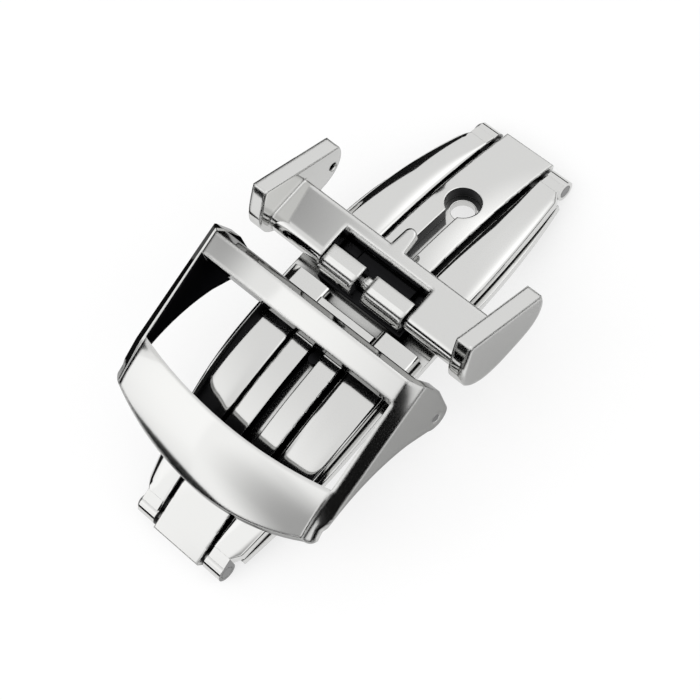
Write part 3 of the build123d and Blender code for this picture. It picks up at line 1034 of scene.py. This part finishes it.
def add_camera(stage):
    """The camera at the photograph's viewing angle."""
    right, up, back = camera_axes(stage)
    data = bpy.data.cameras.new("clasp_camera")
    data.lens = stage.lens
    data.sensor_width = stage.sensor
    data.clip_start = 1.0 * MM
    camera = bpy.data.objects.new("clasp_camera", data)
    bpy.context.scene.collection.objects.link(camera)
    turned = Matrix((right, up, back)).transposed().to_4x4()
    camera.matrix_world = Matrix.Translation(Vector(stage.target) + back * stage.distance) @ turned
    bpy.context.scene.camera = camera


def add_lamp(name, towards, distance, size, power):
    """A square lamp that faces the clasp from one direction."""
    data = bpy.data.lights.new(name, "AREA")
    data.shape = "RECTANGLE"
    data.size, data.size_y = size
    data.energy = power
    lamp = bpy.data.objects.new(name, data)
    bpy.context.scene.collection.objects.link(lamp)
    direction = Vector(towards).normalized()
    turned = direction.to_track_quat("Z", "Y").to_matrix().to_4x4()
    lamp.matrix_world = Matrix.Translation(direction * distance) @ turned
    lamp.visible_glossy = False


def rectangle(low, high, level=0.0):
    """The corners of a level rectangle between two points of the plan."""
    spots = (low, (high[0], low[1]), high, (low[0], high[1]))
    return [Vector((*spot, level)) for spot in spots]


def flat_piece(name, corners, material):
    """A flat sheet of the stage between these corners."""
    mesh = bpy.data.meshes.new(name)
    mesh.from_pydata(corners, [], [tuple(range(len(corners)))])
    mesh.materials.append(material)
    sheet = bpy.data.objects.new(name, mesh)
    bpy.context.scene.collection.objects.link(sheet)
    sheet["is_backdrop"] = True
    return sheet


def floor_material(stage):
    """White floor whose brightness comes partly from the lamps, so that shadows show softly."""
    material = new_tree("white_floor")
    tree = material.node_tree
    sockets = {"Color": opaque((stage.floor_white,) * 3)}
    paint = add_node(tree, "ShaderNodeBsdfDiffuse", sockets=sockets)[0]
    light = add_node(tree, "ShaderNodeEmission", sockets={"Color": opaque(WHITE)})[0]
    sockets = {0: seen_directly(tree) * stage.floor_glow, 1: paint, 2: light}
    lifted = add_node(tree, "ShaderNodeMixShader", sockets=sockets)[0]
    add_node(tree, "ShaderNodeOutputMaterial", sockets={"Surface": lifted})
    return material


def card_material(shade):
    """Matt card of one shade of grey."""
    name = f"card_{shade:.2f}"
    if name in bpy.data.materials:
        return bpy.data.materials[name]
    material = new_tree(name)
    tree = material.node_tree
    sockets = {"Color": opaque((shade,) * 3)}
    paint = add_node(tree, "ShaderNodeBsdfDiffuse", sockets=sockets)[0]
    add_node(tree, "ShaderNodeOutputMaterial", sockets={"Surface": paint})
    return material


def add_world(level):
    """A white surround that lights the clasp a little less than it shows."""
    world = bpy.data.worlds.new("white_surround")
    world.use_nodes = True
    tree = world.node_tree
    tree.nodes.clear()
    strength = seen_directly(tree) * (1 - level) + level
    sockets = {"Color": opaque(WHITE), "Strength": strength}
    back = add_node(tree, "ShaderNodeBackground", sockets=sockets)[0]
    add_node(tree, "ShaderNodeOutputWorld", sockets={"Surface": back})
    bpy.context.scene.world = world


def mirrored_only(sheet):
    """Keeps a sheet of the stage out of sight, so that it shows only in the polish."""
    sheet.visible_camera = False
    sheet.visible_diffuse = False
    sheet.visible_shadow = False


def panel_material(name, middle, edge, reach):
    """A glowing panel whose brightness changes smoothly from its middle to its edge."""
    material = new_tree(name)
    tree = material.node_tree
    sockets = {0: by_name(add_node(tree, "ShaderNodeTexCoord"))["UV"], 1: (0.5, 0.5, 0.0)}
    offset = add_node(tree, "ShaderNodeVectorMath", {"operation": "DISTANCE"}, sockets)[1]
    strength = step(offset, 0.5, reach) * (middle - edge) + edge
    light = add_node(tree, "ShaderNodeEmission", sockets={"Strength": strength})[0]
    add_node(tree, "ShaderNodeOutputMaterial", sockets={"Surface": light})
    return material


def add_panel(name, towards, distance, size, glow, reach):
    """A glowing panel that the polish mirrors, in one direction from the clasp."""
    direction = Vector(towards).normalized()
    turned = direction.to_track_quat("Z", "Y").to_matrix()
    wide, high = size[0] / 2, size[1] / 2
    flat = rectangle((-wide, -high), (wide, high))
    corners = [direction * distance + turned @ corner for corner in flat]
    sheet = flat_piece(name, corners, panel_material(name, *glow, reach))
    layer = sheet.data.uv_layers.new(name="panel")
    for loop, at in zip(layer.data, ((0, 0), (1, 0), (1, 1), (0, 1))):
        loop.uv = at
    mirrored_only(sheet)


DARK = 0.01
# Each dark card: from and to which direction about the vertical it stands and how high it reaches,
# in degrees, how near the clasp its floor part comes, and the shade of that part
CARDS = (
    (-20, 10, 8, 32 * MM, DARK),
    (10, 40, 8, 32 * MM, DARK),
    (40, 60, 32, 24 * MM, DARK),
    (60, 86, 42, 18 * MM, DARK),
    (86, 98, 44, 18 * MM, 0.2),
    (98, 125, 34, 20 * MM, DARK),
    (125, 156, 16, 200 * MM, DARK),
    (156, 180, 16, 32 * MM, DARK),
    (180, 205, 12, 32 * MM, DARK),
    (205, 230, 12, 32 * MM, DARK),
    (230, 260, 28, 32 * MM, DARK),
    (260, 275, 0.5, 32 * MM, DARK),
    (275, 300, 8, 45 * MM, DARK),
    (300, 340, 8, 45 * MM, DARK),
)


def add_dark_card(stage, number, start, end, top, gap, shade):
    """A dark card upright round the clasp, and one on the floor from its foot to the gap."""
    lift = Vector((0, 0, stage.card_lift))
    rise = Vector((0, 0, stage.card_distance * tan(radians(top))))
    rays = [Vector((cos(radians(turn)), sin(radians(turn)), 0)) for turn in (start, end)]
    foot = [ray * stage.card_distance + lift for ray in rays]
    inner = [ray * gap + lift for ray in rays]
    upright = [foot[0], foot[1], foot[1] + rise, foot[0] + rise]
    mirrored_only(flat_piece(f"upright_card_{number}", upright, card_material(DARK)))
    flat = [inner[0], inner[1], foot[1], foot[0]]
    mirrored_only(flat_piece(f"floor_card_{number}", flat, card_material(shade)))


# The card on the floor that greys the clasp's right side: two corners of it and its shade
GREY_CORNERS = ((-22 * MM, -18 * MM), (22 * MM, -11.2 * MM))
GREY = 0.68

# Each panel: direction, distance, width and height, brightness in the middle and at the edge,
# and the share of the panel from its middle outwards that keeps the middle's brightness
PANELS = (
    ("bright_panel", (-0.6, 0.45, 0.62), 0.5, (0.75, 0.75), (1.4, 1.0), 0.08),
    ("left_panel", (-0.55, 1.18, 1.1), 0.42, (0.15, 0.15), (0.5, 1.15), 0.1),
    ("bar_panel", (0.37, 0.6, 1.0), 0.43, (0.09, 0.114), (0.42, 1.0), 0.06),
    ("lip_panel", (-0.86, -0.08, 0.6), 0.42, (0.5, 0.36), (0.5, 1.3), 0.15),
    ("right_panel", (0.3, -0.75, 0.8), 0.5, (0.5, 0.5), (1.7, 1.0), 0.08),
    ("end_panel", (0.7, -0.05, 0.72), 0.5, (0.5, 0.5), (1.6, 1.0), 0.1),
)

# Each lamp: direction, distance, width and height, and the stage's name for its power
LAMPS = (
    ("large_lamp", (-0.75, 0.3, 0.6), 0.47, (0.5, 0.6), "lamp_power"),
    ("right_lamp", (0.5, -0.75, 0.55), 0.45, (0.3, 0.3), "fill_power"),
)


class ClaspSetStage(bpy.types.Operator):
    """Sets the floor, the dark cards, the lamps, the surround and the camera"""

    bl_idname = "clasp.stage"
    bl_label = "Stage"

    def execute(self, context):
        stage = context.scene.clasp_stage
        half = stage.floor_size / 2
        flat_piece("floor", rectangle((-half, -half), (half, half)), floor_material(stage))
        for number, card in enumerate(CARDS, start=1):
            add_dark_card(stage, number, *card)
        strip = rectangle(*GREY_CORNERS, stage.card_lift)
        mirrored_only(flat_piece("grey_card", strip, card_material(GREY)))
        for panel in PANELS:
            add_panel(*panel)
        for name, towards, distance, size, power in LAMPS:
            add_lamp(name, towards, distance, size, getattr(stage, power))
        add_world(stage.surround_light)
        add_camera(stage)
        context.scene.view_settings.view_transform = "Standard"
        return {"FINISHED"}


OPERATORS = (
    ClaspBase,
    ClaspArms,
    ClaspBarrels,
    ClaspPins,
    ClaspCrossbar,
    ClaspFrame,
    ClaspSetStage,
)


class ClaspPanel(bpy.types.Panel):
    """The clasp's panel in the sidebar"""

    bl_idname = "VIEW3D_PT_clasp"
    bl_label = "Clasp"
    bl_space_type = "VIEW_3D"
    bl_region_type = "UI"
    bl_category = "Clasp"

    def draw(self, context):
        for operator in OPERATORS:
            self.layout.operator(operator.bl_idname)
        scene = context.scene
        for group in (scene.clasp_finish, scene.clasp_blades, scene.clasp_stage):
            for name in group.__annotations__:
                self.layout.prop(group, name)


CLASSES = (ClaspFinish, ClaspBlades, ClaspStage, *OPERATORS, ClaspPanel)


def register():
    for entry in CLASSES:
        bpy.utils.register_class(entry)
    bpy.types.Scene.clasp_finish = bpy.props.PointerProperty(type=ClaspFinish)
    bpy.types.Scene.clasp_blades = bpy.props.PointerProperty(type=ClaspBlades)
    bpy.types.Scene.clasp_stage = bpy.props.PointerProperty(type=ClaspStage)


def unregister():
    del bpy.types.Scene.clasp_stage
    del bpy.types.Scene.clasp_blades
    del bpy.types.Scene.clasp_finish
    for entry in reversed(CLASSES):
        bpy.utils.unregister_class(entry)


def main():
    """Registers the add-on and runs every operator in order."""
    register()
    for operator in OPERATORS:
        group, name = operator.bl_idname.split(".")
        getattr(getattr(bpy.ops, group), name)()
    boxes = {"cad": CAD_BOX, "visual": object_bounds()}
    boxes = {name: [list(corner) for corner in box] for name, box in boxes.items()}


if __name__ == "__main__":
    main()
